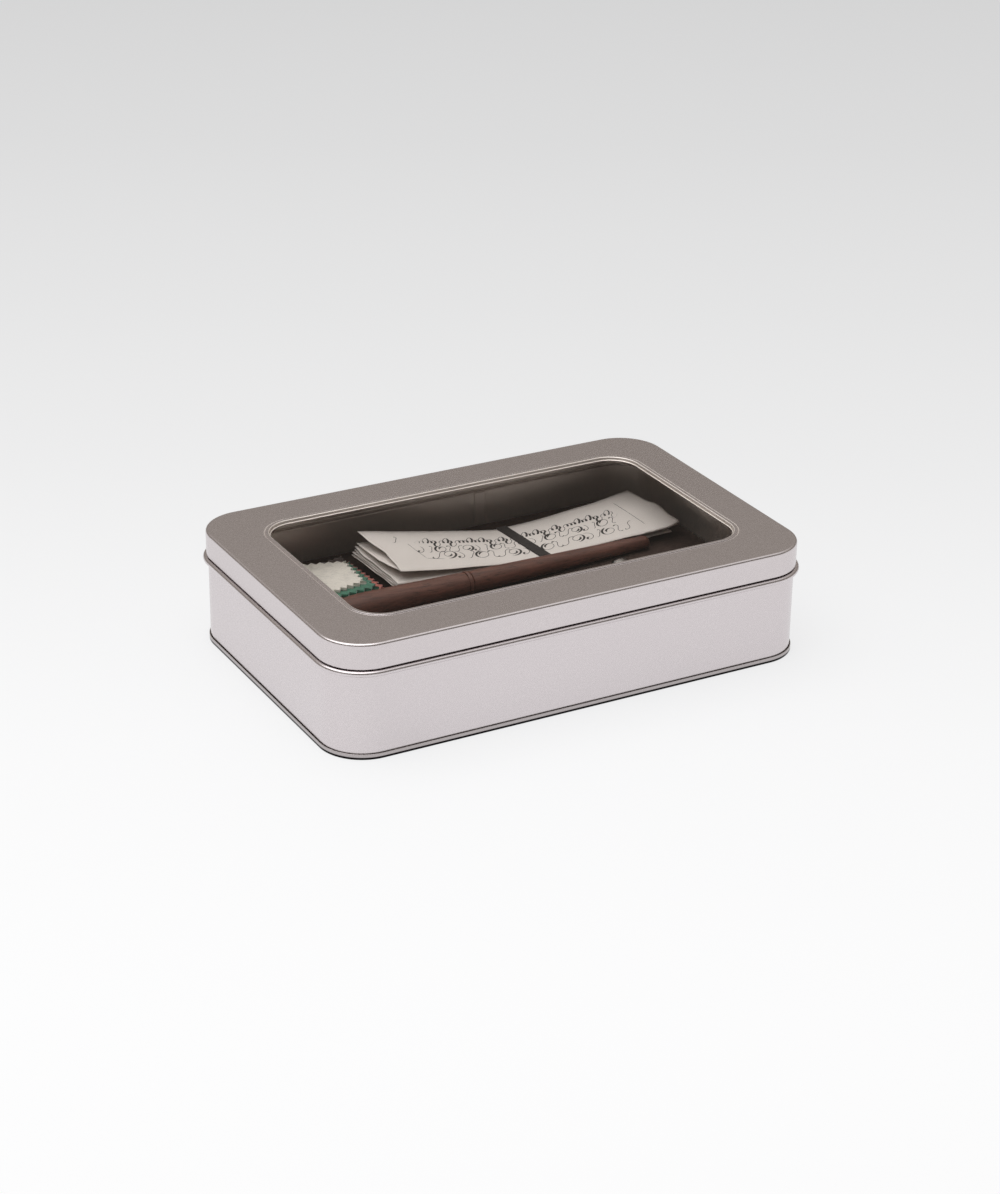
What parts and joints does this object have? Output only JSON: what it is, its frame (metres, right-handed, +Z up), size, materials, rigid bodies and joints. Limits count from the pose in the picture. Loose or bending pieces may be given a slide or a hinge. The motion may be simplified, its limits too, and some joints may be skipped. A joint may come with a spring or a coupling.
{
  "type": "calligraphy set box",
  "caption": "Slip-lid tin with a clear window in its lid, holding a wooden penholder and nibs, a banded sheaf of copy sheets, a felt wiper and an ink bottle.",
  "frame": {"origin": "centre of the tin's underside, on the surface that it stands on", "axes": "+X along the tin's long side, -Y towards the front, +Z up"},
  "size_m": [0.2026, 0.1326, 0.0463],
  "materials": {
    "tinplate": "satin",
    "clear_film": "gloss",
    "adhesive": "clear",
    "brown_card": "matte",
    "copy_paper": "uncoated",
    "dark_ribbon": "woven",
    "pen_wood": "oiled",
    "polished_steel": "polished",
    "felt_white": "felt",
    "felt_green": "felt",
    "felt_red": "felt",
    "felt_brown": "felt",
    "wiper_thread": "twisted thread",
    "bottle_glass": "gloss",
    "black_ink": "liquid",
    "label_paper": "bare",
    "liner_foam": "foam",
    "black_cap": "moulded"
  },
  "bodies": {
    "tin": {"body_wall": "tinplate", "base_plate": "tinplate", "riser_wall": "brown_card", "riser_top": "brown_card"},
    "lid": {"lid_shell": "tinplate", "window_pane": "clear_film", "pane_adhesive": "adhesive"},
    "sheaf": {"copy_sheet_1": "copy_paper", "copy_sheet_2": "copy_paper", "copy_sheet_3": "copy_paper", "copy_sheet_4": "copy_paper", "copy_sheet_5": "copy_paper", "sheaf_band": "dark_ribbon"},
    "penholder": {"penholder_shaft": "pen_wood", "ferrule": "polished_steel", "ferrule_prongs": "polished_steel"},
    "nib": {"nib": "polished_steel"},
    "spare_nib": {"spare_nib": "polished_steel"},
    "wiper": {"felt_white": "felt_white", "felt_green": "felt_green", "felt_red": "felt_red", "felt_brown": "felt_brown", "wiper_thread": "wiper_thread"},
    "bottle": {"ink_bottle": "bottle_glass", "ink": "black_ink", "bottle_label": "label_paper"},
    "liner": {"cap_liner": "liner_foam"},
    "cap": {"bottle_cap": "black_cap"}
  },
  "joints": [
    {"name": "lid_lift", "type": "slide", "parent": "tin", "child": "lid", "axis": [0, 0, 1], "range_m": [0, 0.07]},
    {"name": "sheaf_lift", "type": "slide", "parent": "tin", "child": "sheaf", "axis": [0, 0, 1], "range_m": [0, 0.0075]},
    {"name": "penholder_out", "type": "slide", "parent": "tin", "child": "penholder", "axis": [0.0601, -0.9043, 0.4226], "range_m": [0, 0.028]},
    {"name": "nib_pull", "type": "slide", "parent": "penholder", "child": "nib", "axis": [-0.9976, -0.0663, 0.0222], "range_m": [0, 0.009]},
    {"name": "spare_nib_slide", "type": "slide", "parent": "tin", "child": "spare_nib", "axis": [0, -1, 0], "range_m": [0, 0.008]},
    {"name": "wiper_lift", "type": "slide", "parent": "tin", "child": "wiper", "axis": [0, 0, 1], "range_m": [0, 0.017]},
    {"name": "bottle_lift", "type": "slide", "parent": "tin", "child": "bottle", "axis": [0, 0, 1], "range_m": [0, 0.0045]},
    {"name": "cap_rise", "type": "slide", "parent": "bottle", "child": "liner", "axis": [0, 0, 1], "range_m": [0, 0.00451]},
    {"name": "cap_turn", "type": "hinge", "parent": "liner", "child": "cap", "pos_m": [-0.048, -0.0465, 0.03], "axis": [0, 0, 1], "range_deg": [0, 540]}
  ],
  "couplings": [
    {"joint": "cap_rise", "follows": "cap_turn", "m_per_rad": 0.00047746}
  ]
}
